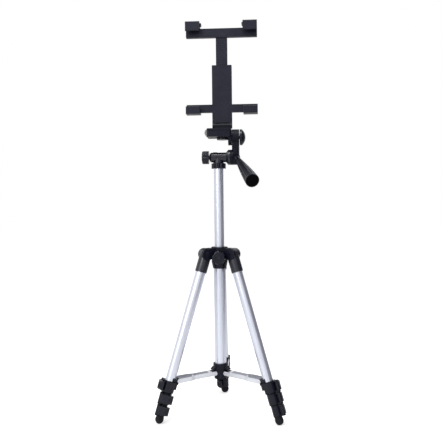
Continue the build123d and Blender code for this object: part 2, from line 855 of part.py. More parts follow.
def holder_slider():
    # The sliding half: tongue, upper bar and upper hooks
    body = block(holder_span(tongue_width_half), (tongue_front, tongue_back), (tongue_bottom, upper_bar_top))
    bar = block(holder_span(bar_half), (plate_front, plate_back), (upper_bar_bottom, upper_bar_top))
    bar = fillet(bar.edges().filter_by(Axis.Y), edge_round)
    body += bar
    for side in (-1, 1):
        top = upper_jaw_top - ridge_height
        body += hook(side, (upper_face, top), (upper_lip_bottom, top), plate_back)
        middle = screw_axis + side * hook_offset
        span = (middle - hook_half, middle + hook_half)
        upright = (upper_bar_bottom + edge_round, upper_face + edge_round)
        body += block(span, (plate_front, plate_back), upright)
        ridge = lip_front + lip_thick
        body += block(span, (ridge, ridge + ridge_width), (upper_face, upper_jaw_top))
        inner_edge = middle - side * hook_half
        rib = sorted((inner_edge, inner_edge - side * gusset / 2))
        rib_span = (upper_face, upper_face + gusset)
        body += block(tuple(rib), (plate_front - gusset, plate_back), rib_span)
    return body


def jaw_pads(face, direction):
    # A thin rubber lining on each jaw, against the tablet's edge
    pads = []
    for side in (-1, 1):
        middle = screw_axis + side * hook_offset
        span = (middle - hook_half + pad_inset, middle + hook_half - pad_inset)
        depth = (lip_front + lip_thick, plate_front - pad_setback)
        pads.append(block(span, depth, tuple(sorted((face, face + direction * pad_thick)))))
    return Compound(children=pads)


def main():
    nodes = {
        "hub_body": hub_body(),
        "leg_pivot_pins": leg_pivot_pins(),
        "guide_tube": guide_tube(),
        "column_lock_knob": column_lock_knob(),
        "spreader_hub": spreader_hub(),
        "column_tube": column_tube(),
        "column_cap": column_cap(),
        "pan_base": pan_base(),
        "pan_lock_knob": pan_lock_knob(),
        "tilt_body": tilt_body(),
        "handle_rod": handle_rod(),
        "handle_grip": handle_grip(),
        "platform": platform(),
        "flip_lock_knob": flip_lock_knob(),
        "release_wheel": release_wheel(),
        "camera_screw": camera_screw(),
        "holder_foot": holder_foot(),
        "holder_body": holder_body(),
        "holder_slider": holder_slider(),
        "lower_pads": jaw_pads(lower_face, 1),
        "upper_pads": jaw_pads(upper_face, -1),
    }
    nodes.update(brace_nodes())
    for index, azimuth in enumerate(leg_azimuths):
        nodes.update(leg_nodes(index, azimuth))
    os.makedirs("parts", exist_ok=True)
    for name, solid in nodes.items():
        export_step(solid, f"parts/{name}.step")


main()
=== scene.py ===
import json
import math
import bmesh
import bpy
import numpy as np
from mathutils import Matrix, Vector


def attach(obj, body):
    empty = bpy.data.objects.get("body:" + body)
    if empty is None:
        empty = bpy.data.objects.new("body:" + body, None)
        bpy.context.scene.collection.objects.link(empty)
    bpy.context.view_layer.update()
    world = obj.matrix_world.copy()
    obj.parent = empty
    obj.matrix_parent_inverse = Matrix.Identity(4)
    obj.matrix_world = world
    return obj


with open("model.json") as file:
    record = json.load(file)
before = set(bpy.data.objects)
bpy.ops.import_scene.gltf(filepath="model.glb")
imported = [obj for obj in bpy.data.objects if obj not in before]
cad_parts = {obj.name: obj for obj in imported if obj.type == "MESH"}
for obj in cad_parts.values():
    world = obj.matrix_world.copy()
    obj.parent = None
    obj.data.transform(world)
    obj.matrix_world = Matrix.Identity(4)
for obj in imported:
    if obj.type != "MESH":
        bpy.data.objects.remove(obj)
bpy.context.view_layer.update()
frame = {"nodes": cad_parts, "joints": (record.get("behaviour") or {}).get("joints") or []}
mm = 0.001
jointNamed = {joint["name"]: joint for joint in frame["joints"]}
foldSpot = [value / mm for value in jointNamed["holder_fold"]["pos_m"]]
# The foot's round end, the way from the top lock to that end's middle, and the way from lock to lock
footRadius = 6.4
locksToSole = 58.69
lockPitch = 17.5
# How far down a leg, from its hinge, that middle and the top lock lie, with the round end on the floor
downward = -jointNamed["leg_1_extend_1"]["axis"][2]
soleAlong = (jointNamed["leg_1_fold"]["pos_m"][2] / mm - footRadius) / downward
locksAlong = soleAlong - locksToSole
print("stage: frame loaded,", len(frame["nodes"]), "nodes")


# Shader groups

def newGroup(name, inputs, outputs):
    # Inputs and outputs are names of sockets, each with the kind that it has
    group = bpy.data.node_groups.new(name, "ShaderNodeTree")
    for way, sockets in (("INPUT", inputs), ("OUTPUT", outputs)):
        for label, kind in sockets.items():
            group.interface.new_socket(name=label, in_out=way, socket_type=f"NodeSocket{kind}")
    return group, group.nodes.new("NodeGroupInput"), group.nodes.new("NodeGroupOutput")


def feed(tree, socket, value):
    # A number or colour set on the socket, or a link from another socket
    if isinstance(value, bpy.types.NodeSocket):
        tree.links.new(value, socket)
    else:
        socket.default_value = value


def noiseNode(tree, vector, size):
    # The size holds the noise's scale, its detail and its roughness
    node = tree.nodes.new("ShaderNodeTexNoise")
    for label, value in zip(("Vector", "Scale", "Detail", "Roughness"), (vector, *size)):
        feed(tree, node.inputs[label], value)
    return node.outputs["Fac"]


def mathNode(tree, kind, *values):
    node = tree.nodes.new("ShaderNodeMath")
    node.operation = kind
    for socket, value in zip(node.inputs, values):
        feed(tree, socket, value)
    return node.outputs["Value"]


def rangeNode(tree, value, band):
    # The band holds the low and high value that go in, and what each of them comes out as
    node = tree.nodes.new("ShaderNodeMapRange")
    for label, bound in zip(("Value", "From Min", "From Max", "To Min", "To Max"), (value, *band)):
        feed(tree, node.inputs[label], bound)
    return node.outputs["Result"]


def mixColor(tree, factor, first, second):
    node = tree.nodes.new("ShaderNodeMix")
    node.data_type = "RGBA"
    # The colour mix has its factor, its two colours and its result at these places
    for place, value in ((0, factor), (6, first), (7, second)):
        feed(tree, node.inputs[place], value)
    return node.outputs[2]


groupOutputs = {"Color": "Color", "Roughness": "Float", "Height": "Float"}
mouldedSizes = {"grain": (2.0, 0.5), "cloud": (42.0, 4.0, 0.6), "patch": (95.0, 3.0, 0.55),
                "rub": (0.56, 0.74, 0.0, 1.0), "tone": (0.3, 0.75, 0.0, 0.45),
                "speck": (0.35, 0.7, 0.0, 0.25), "polish": 0.22, "haze": (0.3, 0.7, -0.04, 0.05)}


def buildMouldedGrain(size):
    # Fine spark-eroded grain with faint cloudy tone and rubbed, smoother patches
    inputs = {"Vector": "Vector", "Base": "Color", "Rubbed": "Color", "Grain Scale": "Float",
              "Roughness": "Float", "Wear": "Float"}
    group, source, sink = newGroup("mouldedGrain", inputs, groupOutputs)
    vector = source.outputs["Vector"]
    grain = noiseNode(group, vector, (source.outputs["Grain Scale"], *size["grain"]))
    cloud = noiseNode(group, vector, size["cloud"])
    patch = noiseNode(group, vector, size["patch"])
    rub = mathNode(group, "MULTIPLY", rangeNode(group, patch, size["rub"]), source.outputs["Wear"])
    tone = rangeNode(group, cloud, size["tone"])
    speck = rangeNode(group, grain, size["speck"])
    amount = mathNode(group, "ADD", mathNode(group, "ADD", tone, speck), rub)
    amount = mathNode(group, "MINIMUM", amount, 1.0)
    tint = mixColor(group, amount, source.outputs["Base"], source.outputs["Rubbed"])
    group.links.new(tint, sink.inputs["Color"])
    gloss = mathNode(group, "MULTIPLY", rub, size["polish"])
    rough = mathNode(group, "SUBTRACT", source.outputs["Roughness"], gloss)
    rough = mathNode(group, "ADD", rough, rangeNode(group, cloud, size["haze"]))
    group.links.new(rough, sink.inputs["Roughness"])
    group.links.new(grain, sink.inputs["Height"])
    return group


drawnSizes = {"stretch": (1.0, 1.0, 0.012), "lines": (2600.0, 3.0, 0.6), "broad": (420.0, 2.0, 0.5),
              "cloud": (30.0, 3.0, 0.5), "fine": (0.35, 0.75, 0.0, 0.55), "wide": (0.3, 0.7, 0.0, 0.35),
              "scratch": (0.3, 0.7, -0.05, 0.07), "haze": (0.3, 0.7, -0.03, 0.04)}


def buildDrawnStreaks(size):
    # Long faint die lines along the piece's own Z, with a soft cloudy sheen
    inputs = {"Vector": "Vector", "Base": "Color", "Streak": "Color", "Roughness": "Float"}
    group, source, sink = newGroup("drawnStreaks", inputs, groupOutputs)
    stretch = group.nodes.new("ShaderNodeMapping")
    stretch.inputs["Scale"].default_value = size["stretch"]
    group.links.new(source.outputs["Vector"], stretch.inputs["Vector"])
    lines = noiseNode(group, stretch.outputs["Vector"], size["lines"])
    broad = noiseNode(group, stretch.outputs["Vector"], size["broad"])
    cloud = noiseNode(group, source.outputs["Vector"], size["cloud"])
    amount = rangeNode(group, lines, size["fine"])
    amount = mathNode(group, "ADD", amount, rangeNode(group, broad, size["wide"]))
    tint = mixColor(group, amount, source.outputs["Base"], source.outputs["Streak"])
    group.links.new(tint, sink.inputs["Color"])
    rough = mathNode(group, "ADD", source.outputs["Roughness"], rangeNode(group, lines, size["scratch"]))
    rough = mathNode(group, "ADD", rough, rangeNode(group, cloud, size["haze"]))
    group.links.new(rough, sink.inputs["Roughness"])
    group.links.new(lines, sink.inputs["Height"])
    return group


mouldedGrain = buildMouldedGrain(mouldedSizes)
drawnStreaks = buildDrawnStreaks(drawnSizes)


# Materials

def startMaterial(name):
    material = bpy.data.materials.new(name)
    material.use_nodes = True
    tree = material.node_tree
    shader = tree.nodes["Principled BSDF"]
    place = tree.nodes.new("ShaderNodeTexCoord")
    return material, tree, shader, place.outputs["Object"]


def addBump(tree, shader, height, strength, distance):
    bump = tree.nodes.new("ShaderNodeBump")
    bump.inputs["Strength"].default_value = strength
    bump.inputs["Distance"].default_value = distance
    tree.links.new(height, bump.inputs["Height"])
    tree.links.new(bump.outputs["Normal"], shader.inputs["Normal"])


def useGroup(tree, shader, group, values):
    # The group's node, fed with its values, gives the shader its colour and roughness
    node = tree.nodes.new("ShaderNodeGroup")
    node.node_tree = group
    for label, value in values.items():
        feed(tree, node.inputs[label], value)
    tree.links.new(node.outputs["Color"], shader.inputs["Base Color"])
    tree.links.new(node.outputs["Roughness"], shader.inputs["Roughness"])
    return node


def plastic(name, look):
    # A look's extra adds to the height under the bump, and its shade is painted shade, dimming colour and
    # gloss where its mask is low
    material, tree, shader, place = startMaterial(name)
    grain = useGroup(tree, shader, mouldedGrain, {
        "Vector": place, "Base": (*look["base"], 1), "Rubbed": (*look["rubbed"], 1),
        "Grain Scale": look["grainScale"], "Roughness": look["roughness"], "Wear": look["wear"]})
    height = grain.outputs["Height"]
    if look.get("extra"):
        height = look["extra"](tree, place, height)
    addBump(tree, shader, height, look["bump"], bumpDepth["plastic"])
    shader.inputs["Specular IOR Level"].default_value = look["specular"]
    if look.get("shade"):
        mask = look["shade"](tree, place)
        gleam = mathNode(tree, "MULTIPLY", mask, look["specular"])
        tint = mixColor(tree, mask, (0, 0, 0, 1), grain.outputs["Color"])
        tree.links.new(gleam, shader.inputs["Specular IOR Level"])
        tree.links.new(tint, shader.inputs["Base Color"])
    return material


def metal(name, look, turns=()):
    # The turns bring the piece's own length onto Z, one after the other
    material, tree, shader, place = startMaterial(name)
    for turn in turns:
        mapping = tree.nodes.new("ShaderNodeMapping")
        mapping.inputs["Rotation"].default_value = turn
        tree.links.new(place, mapping.inputs["Vector"])
        place = mapping.outputs["Vector"]
    streaks = useGroup(tree, shader, drawnStreaks, {
        "Vector": place, "Base": (*look["base"], 1), "Streak": (*look["streak"], 1),
        "Roughness": look["roughness"]})
    shader.inputs["Metallic"].default_value = look["metallic"]
    addBump(tree, shader, streaks.outputs["Height"], look["bump"], bumpDepth["metal"])
    return material


bumpDepth = {"plastic": 0.08 * mm, "metal": 0.02 * mm}
rack = {"middle": foldSpot[0] * mm, "halfWidth": 6.5 * mm, "pitch": 3.0 * mm, "tooth": 0.45, "depth": 6.0}


def rackGrooves(tree, place, height):
    # Ratchet grooves across the sliding tongue, inside a band on either side of its middle
    split = tree.nodes.new("ShaderNodeSeparateXYZ")
    tree.links.new(place, split.inputs["Vector"])
    aside = mathNode(tree, "ABSOLUTE", mathNode(tree, "SUBTRACT", split.outputs["X"], rack["middle"]))
    inside = mathNode(tree, "LESS_THAN", aside, rack["halfWidth"])
    step = mathNode(tree, "FRACT", mathNode(tree, "DIVIDE", split.outputs["Z"], rack["pitch"]))
    tooth = mathNode(tree, "MULTIPLY", mathNode(tree, "LESS_THAN", step, rack["tooth"]), inside)
    return mathNode(tree, "ADD", mathNode(tree, "MULTIPLY", tooth, rack["depth"]), height)


plasticLooks = {
    "bodyPlastic": dict(base=(0.0024, 0.0028, 0.0080), rubbed=(0.0085, 0.0095, 0.0180), grainScale=1500,
                        roughness=0.24, wear=0.35, bump=0.14, specular=0.24),
    "leverPlastic": dict(base=(0.0034, 0.0040, 0.0095), rubbed=(0.0110, 0.0120, 0.0205), grainScale=1500,
                         roughness=0.26, wear=0.45, bump=0.15, specular=0.26),
    "knobPlastic": dict(base=(0.0030, 0.0034, 0.0085), rubbed=(0.0105, 0.0115, 0.0200), grainScale=1700,
                        roughness=0.22, wear=0.5, bump=0.14, specular=0.24),
    "gripPlastic": dict(base=(0.0034, 0.0040, 0.0090), rubbed=(0.0105, 0.0115, 0.0190), grainScale=1300,
                        roughness=0.34, wear=0.4, bump=0.35, specular=0.24),
    "endPlastic": dict(base=(0.0016, 0.0017, 0.0022), rubbed=(0.0030, 0.0031, 0.0036), grainScale=1300,
                       roughness=0.8, wear=0.1, bump=0.3, specular=0.02),
    "holderPlastic": dict(base=(0.0046, 0.0054, 0.0125), rubbed=(0.0120, 0.0130, 0.0220), grainScale=1600,
                          roughness=0.36, wear=0.3, bump=0.3, specular=0.2),
    "wheelPlastic": dict(base=(0.10, 0.10, 0.105), rubbed=(0.30, 0.30, 0.31), grainScale=1500,
                         roughness=0.3, wear=0.6, bump=0.3, specular=0.5),
    "footRubber": dict(base=(0.0036, 0.0038, 0.0070), rubbed=(0.0130, 0.0135, 0.0175), grainScale=1100,
                       roughness=0.62, wear=0.5, bump=0.5, specular=0.18),
    "padRubber": dict(base=(0.0060, 0.0062, 0.0090), rubbed=(0.0160, 0.0160, 0.0185), grainScale=1200,
                      roughness=0.78, wear=0.2, bump=0.6, specular=0.2),
}
# The same moulding compound out of differently polished moulds, the arm and the neck with a darker base:
# name, look it starts from, what differs
polished = {
    "shoulderPlastic": ("bodyPlastic", dict(roughness=0.30, specular=0.52)),
    "barrelPlastic": ("bodyPlastic", dict(roughness=0.27, specular=0.46)),
    "capPlastic": ("bodyPlastic", dict(roughness=0.17, specular=0.25)),
    "hubPlastic": ("bodyPlastic", dict(roughness=0.28, specular=0.18)),
    "platformPlastic": ("bodyPlastic", dict(roughness=0.34, specular=0.15)),
    "armPlastic": ("bodyPlastic", dict(base=(0.0020, 0.0022, 0.0050), roughness=0.46, specular=0.09)),
    # The neck's darker base is painted shade, the shadow that the held tablet casts on it
    "neckPlastic": ("holderPlastic", dict(base=(0.0022, 0.0025, 0.0050), specular=0.10)),
}
for name, (start, changes) in polished.items():
    plasticLooks[name] = dict(plasticLooks[start], **changes)
metalLooks = {
    "tubeAnodised": dict(base=(0.69, 0.71, 0.795), streak=(0.58, 0.60, 0.69), roughness=0.30,
                         metallic=0.9, bump=0.12),
    "braceSteel": dict(base=(0.70, 0.71, 0.76), streak=(0.56, 0.57, 0.63), roughness=0.30,
                       metallic=0.9, bump=0.2),
    # A darker copy of the brace steel, painted shade for each brace's top and the inner walls of its fork
    "braceDull": dict(base=(0.31, 0.32, 0.36), streak=(0.26, 0.26, 0.30), roughness=0.42,
                      metallic=0.9, bump=0.2),
    "pinSteel": dict(base=(0.60, 0.60, 0.62), streak=(0.45, 0.45, 0.47), roughness=0.3,
                     metallic=1.0, bump=0.2),
}
made = {name: plastic(name, look) for name, look in plasticLooks.items()}
made["sliderPlastic"] = plastic("sliderPlastic", dict(plasticLooks["holderPlastic"], extra=rackGrooves))
made["pinSteel"] = metal("pinSteel", metalLooks["pinSteel"])
made["tubeUpright"] = metal("tubeUpright", metalLooks["tubeAnodised"])
print("stage: plastics and metals ready")


# Frames of the legs and braces, worked out from the joints

def legFrame(number):
    # Local Z runs down the leg, local X is its outer side, the origin is its hinge
    fold = jointNamed[f"leg_{number}_fold"]
    along = Vector(jointNamed[f"leg_{number}_extend_1"]["axis"]).normalized()
    across = -Vector(fold["axis"]).normalized()
    out = across.cross(along)
    matrix = Matrix((out, across, along)).transposed().to_4x4()
    matrix.translation = Vector(fold["pos_m"])
    return matrix


def tiltTurns(direction):
    # Turns that bring a direction in space onto the Z axis, about Z and then about Y
    around = math.atan2(direction.y, direction.x)
    lean = math.atan2(math.hypot(direction.x, direction.y), direction.z)
    return (0, 0, -around), (0, -lean, 0)


legFrames = {number: legFrame(number) for number in (1, 2, 3)}
for number, legMatrix in legFrames.items():
    downLeg = legMatrix.to_3x3() @ Vector((0, 0, 1))
    made[f"tubeLeg{number}"] = metal(f"tubeLeg{number}", metalLooks["tubeAnodised"], tiltTurns(downLeg))
    outward = Vector(jointNamed[f"brace_{number}_fold"]["pos_m"])
    outward.z = 0
    turns = tiltTurns(outward.normalized())
    # Each brace gets bright steel, and a darker copy that paints shade on its top and in its fork
    for look, finish in (("braceSteel", "brace"), ("braceDull", "braceTop")):
        made[f"{finish}{number}"] = metal(f"{finish}{number}", metalLooks[look], turns)


# Millimetres from a seam at which its painted shade begins and ends to lift, and how much light each lets
# through
seamShadeBand = (0.55, 1.2, 0.25, 1.0)


def lockSeams(matrix):
    # Painted shade in the seams between the locks, standing in for the shadow in the gaps, by the distance
    # along the leg from the nearest seam
    downLeg = matrix.to_3x3() @ Vector((0, 0, 1))
    start = matrix.translation.dot(downLeg) / mm + locksAlong

    def shade(tree, place):
        along = tree.nodes.new("ShaderNodeVectorMath")
        along.operation = "DOT_PRODUCT"
        along.inputs[1].default_value = downLeg / mm
        tree.links.new(place, along.inputs[0])
        step = mathNode(tree, "SUBTRACT", along.outputs["Value"], start)
        step = mathNode(tree, "DIVIDE", step, lockPitch)
        away = mathNode(tree, "ABSOLUTE", mathNode(tree, "SUBTRACT", step, mathNode(tree, "ROUND", step)))
        return rangeNode(tree, mathNode(tree, "MULTIPLY", away, lockPitch), seamShadeBand)

    return shade


# Lock and lever plastics for each leg, darkened with painted shade at the seams between the locks
for number, legMatrix in legFrames.items():
    for start, finish in (("bodyPlastic", "lockPlastic"), ("leverPlastic", "leverPlastic")):
        look = dict(plasticLooks[start], shade=lockSeams(legMatrix))
        made[f"{finish}{number}"] = plastic(f"{finish}{number}", look)

# The finish of each kind of leg piece, where the leg's number takes the place of {}, and of the single pieces
legFinish = {"tube": "tubeLeg{}", "lock": "lockPlastic{}", "lever": "leverPlastic{}", "foot": "footRubber",
             "shoulder": "shoulderPlastic"}
finishOf = {"column_tube": "tubeUpright", "guide_tube": "tubeUpright", "leg_pivot_pins": "pinSteel",
            "handle_rod": "pinSteel", "camera_screw": "knobPlastic", "release_wheel": "wheelPlastic",
            "handle_grip": "gripPlastic", "holder_slider": "sliderPlastic", "holder_body": "holderPlastic",
            "holder_foot": "neckPlastic", "pan_base": "barrelPlastic", "column_cap": "capPlastic",
            "hub_body": "hubPlastic", "spreader_hub": "platformPlastic", "platform": "platformPlastic",
            "tilt_body": "armPlastic"}


def nodeFinish(name):
    words = name.split("_")
    if words[0] == "brace":
        return f"brace{words[1]}"
    if words[0] == "leg" and words[1].isdigit():
        return legFinish[words[2]].format(words[1])
    if words[-1] == "knob":
        return "knobPlastic"
    if words[-1] == "pads":
        return "padRubber"
    return finishOf[name]


for name, node in frame["nodes"].items():
    node.data.materials.clear()
    node.data.materials.append(made[nodeFinish(name)])
print("stage: every CAD node has its finish")


# Surface helpers

def gridFaces(rows, columns, wrap=True, start=0):
    # Quads of a grid of points stored row by row; a wrapped grid closes round its columns
    row, column = np.meshgrid(np.arange(rows - 1), np.arange(columns if wrap else columns - 1), indexing="ij")
    after = (column + 1) % columns
    quads = np.stack([row * columns + column, row * columns + after,
                      (row + 1) * columns + after, (row + 1) * columns + column], -1)
    return (quads.reshape(-1, 4) + start).tolist()


sharpAngle = math.radians(30)
weldDistance = 1e-7


def outwardNormals(mesh):
    work = bmesh.new()
    work.from_mesh(mesh)
    bmesh.ops.remove_doubles(work, verts=work.verts, dist=weldDistance)
    bmesh.ops.recalc_face_normals(work, faces=work.faces)
    work.to_mesh(mesh)
    work.free()


def addPiece(name, points, faces, finish, body):
    mesh = bpy.data.meshes.new(name)
    mesh.from_pydata([tuple(point) for point in points], [], faces)
    outwardNormals(mesh)
    mesh.shade_smooth()
    mesh.set_sharp_from_angle(angle=sharpAngle)
    mesh.materials.append(made[finish])
    piece = bpy.data.objects.new(name, mesh)
    bpy.context.scene.collection.objects.link(piece)
    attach(piece, body)


def placed(matrix, points):
    # Points in millimetres in a local frame, brought to metres in the shared one
    spin = np.array(matrix.to_3x3())
    return np.asarray(points, float) @ spin.T * mm + np.array(matrix.translation)


upright = Matrix.Identity(4)


def axisFrame(origin, axis):
    # Local Z on the axis; origin in metres
    axis = Vector(axis).normalized()
    side = axis.orthogonal().normalized()
    matrix = Matrix((side, axis.cross(side), axis)).transposed().to_4x4()
    matrix.translation = Vector(origin)
    return matrix


def turnedSurface(profile, segments):
    # Point(i, a) = (r_i cos a, r_i sin a, h_i), the profile turned once about Z
    angles = np.linspace(0, 2 * np.pi, segments, endpoint=False)
    radius, height = np.array(profile).T[:, :, None]
    grid = np.stack(np.broadcast_arrays(radius * np.cos(angles), radius * np.sin(angles), height), -1)
    points = grid.reshape(-1, 3)
    faces = gridFaces(len(profile), segments)
    if profile[0] != profile[-1]:
        faces.append(tuple(range(segments)))
        faces.append(tuple(range((len(profile) - 1) * segments, len(profile) * segments)))
    return points, faces


def joinSurfaces(parts):
    points, faces, count = [], [], 0
    for partPoints, partFaces in parts:
        points.append(np.asarray(partPoints))
        faces.extend(tuple(index + count for index in face) for face in partFaces)
        count += len(partPoints)
    return np.concatenate(points), faces


# Points on the eased edge of a ring and of a cap, and the cap's inner circles as shares of its radius
eased = {"ring": 4, "cap": 5, "shares": (0.7, 0.45, 0.2, 0.04)}


def ringProfile(inner, outer, low, high, edge):
    # A ring's section, its outer edges eased by a quarter turn
    steps = np.linspace(0, np.pi / 2, eased["ring"])
    upper = [(outer - edge + edge * math.cos(t), high - edge + edge * math.sin(t)) for t in steps]
    lower = [(outer - edge + edge * math.cos(t), low + edge - edge * math.sin(t)) for t in steps[::-1]]
    return [(inner, low)] + lower + upper + [(inner, high), (inner, low)]


def capProfile(radius, low, high, edge, dish=0.0):
    # A shallow button: flat or dished face, rounded rim
    steps = np.linspace(0, np.pi / 2, eased["cap"])
    rim = [(radius - edge + edge * math.cos(t), high - edge + edge * math.sin(t)) for t in steps]
    face = [(radius * share, high - dish * (1 - share ** 2)) for share in eased["shares"]]
    return [(radius, low)] + rim + face


def closedSheet(top, under, rows, columns):
    # Two grids of the same size, one over the other, closed round their four edges
    points = np.concatenate([top.reshape(-1, 3), under.reshape(-1, 3)])
    count = rows * columns
    index = np.arange(count).reshape(rows, columns)
    rim = np.concatenate([index[0, :], index[1:, -1], index[-1, -2::-1], index[-2:0:-1, 0]])
    after = np.roll(rim, -1)
    walls = np.stack([rim, after, after + count, rim + count], 1).tolist()
    return points, gridFaces(rows, columns, False) + gridFaces(rows, columns, False, count) + walls


bead = {"rows": 33, "columns": 9, "taper": 24, "round": 0.3, "edge": 0.05}


def longBead(spanX, spanY, spanZ):
    # z(u, v) = low + edge + rise * e(u) * (1 - (2v - 1)^2)^round, where e falls to nothing at both ends
    steps = np.linspace(0, 1, bead["rows"]), np.linspace(0, 1, bead["columns"])
    u, v = np.meshgrid(*steps, indexing="ij")
    ends = np.sqrt(np.minimum(1, bead["taper"] * np.minimum(u, 1 - u)))
    rise = np.clip(1 - (2 * v - 1) ** 2, 0, 1) ** bead["round"] * ends
    x, y = spanX[0] + u * (spanX[1] - spanX[0]), spanY[0] + v * (spanY[1] - spanY[0])
    low = spanZ[0] + bead["edge"]
    top = np.stack([x, y, low + rise * (spanZ[1] - low)], -1)
    under = np.stack([x, y, np.full_like(x, spanZ[0])], -1)
    return closedSheet(top, under, *x.shape)


print("stage: helpers ready")


# Lever ridges: raised bars on each lever's finger end, placed about the leg from the lever's pin
# Angles are in degrees, and each of a leg's three levers has its own radius to the face

lever = {"pinAngle": 31, "ridgeFrom": -49, "ridgeTo": -27, "ridges": 4, "rise": 0.55, "inset": 3.9,
         "halfAngle": 1.6, "faceRadius": (16.65, 15.2, 13.75)}
rib = {"across": 9, "along": 9, "taper": 10, "round": 0.6, "sunk": 0.15, "under": 0.4}


def arcRibs(radius, angles, low, high):
    # r(u, v) = face - sunk + lift * e(v) * cos(pi u / 2)^round about a middle angle, one rib after the other
    steps = np.linspace(-1, 1, rib["across"]), np.linspace(0, 1, rib["along"])
    u, v = np.meshgrid(*steps, indexing="ij")
    ends = np.sqrt(np.minimum(1, rib["taper"] * np.minimum(v, 1 - v)))
    lift = (lever["rise"] + rib["sunk"]) * np.clip(np.cos(u * np.pi / 2), 0, 1) ** rib["round"] * ends
    height = low + v * (high - low)
    parts = []
    for middle in angles:
        angle = np.radians(middle + u * lever["halfAngle"])
        skins = [np.stack([reach * np.cos(angle), reach * np.sin(angle), height], -1)
                 for reach in (radius - rib["sunk"] + lift, radius - rib["under"])]
        parts.append(closedSheet(*skins, *u.shape))
    return joinSurfaces(parts)


for number, matrix in legFrames.items():
    for step, radius in enumerate(lever["faceRadius"]):
        body = f"leg_{number}_lever_{step + 1}"
        pin = matrix.inverted() @ Vector(jointNamed[f"{body}_open"]["pos_m"])
        turn = math.degrees(math.atan2(pin.y, pin.x)) - lever["pinAngle"]
        top = locksAlong + step * lockPitch
        middles = np.linspace(lever["ridgeFrom"], lever["ridgeTo"], lever["ridges"]) + turn
        points, faces = arcRibs(radius, middles, top + lever["inset"], top + lockPitch - lever["inset"])
        points = placed(matrix, points)
        addPiece(f"lever_ridges_{number}_{step + 1}", points, faces, "leverPlastic", body)
print("stage: lever ridges")


# Foot rings: low beads round each rubber foot, r = cone(s) + rise * sin over a half wave

foot = {"neckRadius": 5.7, "length": 5.0, "rings": (1.1, 2.8, 4.5), "half": 0.5, "rise": 0.28,
        "sunk": 0.4, "steps": 7, "segments": 48}

for number, matrix in legFrames.items():
    rings = []
    for down in foot["rings"]:
        middle = soleAlong - foot["length"] + down
        radius = foot["neckRadius"] + down / foot["length"] * (footRadius - foot["neckRadius"])
        steps = np.linspace(0, np.pi, foot["steps"])
        crown = zip(radius + foot["rise"] * np.sin(steps), middle - foot["half"] * np.cos(steps))
        low, high = ((radius - foot["sunk"], middle + side * foot["half"]) for side in (-1, 1))
        rings.append(turnedSurface([low, *crown, high, low], foot["segments"]))
    points, faces = joinSurfaces(rings)
    points = placed(matrix, points)
    addPiece(f"foot_rings_{number}", points, faces, "footRubber", f"leg_{number}_section_4")
print("stage: foot rings")


# Hinge caps: domed heads on the ends of each leg's pivot pin

hinge = {"side": 9.0, "radius": 3.4, "high": 0.7, "edge": 0.35, "dish": 0.25, "segments": 40}

for number in legFrames:
    fold = jointNamed[f"leg_{number}_fold"]
    across = Vector(fold["axis"])
    for sign, label in ((1, "a"), (-1, "b")):
        spot = Vector(fold["pos_m"]) + across * sign * hinge["side"] * mm
        profile = capProfile(hinge["radius"], 0.0, hinge["high"], hinge["edge"], hinge["dish"])
        points, faces = turnedSurface(profile, hinge["segments"])
        points = placed(axisFrame(spot, across * sign), points)
        addPiece(f"hinge_cap_{number}_{label}", points, faces, "bodyPlastic", "hub")
print("stage: hinge caps")


# Knob faces: a pressed ring and a small dished button on each turning knob
# Each knob's turning axis, how far along it the face lies, and the ring's radius

knobs = {"column_lock": ((0, -1, 0), 26.5, 5.2), "pan_lock": ((-1, 0, 0), 25.9, 6.4)}
knobRing = {"width": 0.7, "low": -0.3, "high": 0.35, "edge": 0.25, "segments": 64}
knobButton = {"share": 0.42, "high": 0.45, "edge": 0.3, "dish": 0.3, "segments": 48}

for body, (axis, reach, radius) in knobs.items():
    axis, spot = Vector(axis), Vector(jointNamed[f"{body}_turn"]["pos_m"])
    spot += axis * (reach * mm - spot.dot(axis))
    low = knobRing["low"]
    ring = ringProfile(radius - knobRing["width"], radius, low, knobRing["high"], knobRing["edge"])
    middle = radius * knobButton["share"]
    button = capProfile(middle, low, knobButton["high"], knobButton["edge"], knobButton["dish"])
    surfaces = [turnedSurface(ring, knobRing["segments"]), turnedSurface(button, knobButton["segments"])]
    points, faces = joinSurfaces(surfaces)
    points = placed(axisFrame(spot, axis), points)
    addPiece(f"{body}_face", points, faces, "knobPlastic", body)
print("stage: knob faces")


# Handle: a flat matt disc let into its end, at this far along the handle

handle = {"low": 111.1, "high": 111.65, "radius": 9.0, "edge": 0.15, "segments": 64}
twist = jointNamed["handle_twist"]
profile = capProfile(handle["radius"], handle["low"], handle["high"], handle["edge"])
points, faces = turnedSurface(profile, handle["segments"])
points = placed(axisFrame(twist["pos_m"], twist["axis"]), points)
addPiece("handle_end_plate", points, faces, "endPlastic", "handle")
print("stage: handle end")


# Platform mat: two ribbed rubber strips, before and behind the holder's foot

mat = {"left": foldSpot[0] - 12.1, "right": foldSpot[0] + 12.4, "far": 17.4, "near": 9.6, "rim": 0.3,
       "low": 446.9, "high": 447.35, "edge": 0.02, "ribs": 11, "rise": 0.2, "steps": 6}


def ribbedSheet(size, front, back):
    # z(x) = high + rise * |sin(pi n (x - left) / width)|, dropping to the underside round the edge
    left, right, count = size["left"], size["right"], size["ribs"]
    across = np.array([front, front + size["rim"], back - size["rim"], back])
    x, y = np.meshgrid(np.linspace(left, right, count * size["steps"] + 1), across, indexing="ij")
    edge = (x == left) | (x == right) | (y == front) | (y == back)
    lift = size["rise"] * np.abs(np.sin(np.pi * count * (x - left) / (right - left)))
    top = np.stack([x, y, np.where(edge, size["low"] + size["edge"], size["high"] + lift)], -1)
    under = np.stack([x, y, np.full_like(x, size["low"])], -1)
    return closedSheet(top, under, *x.shape)


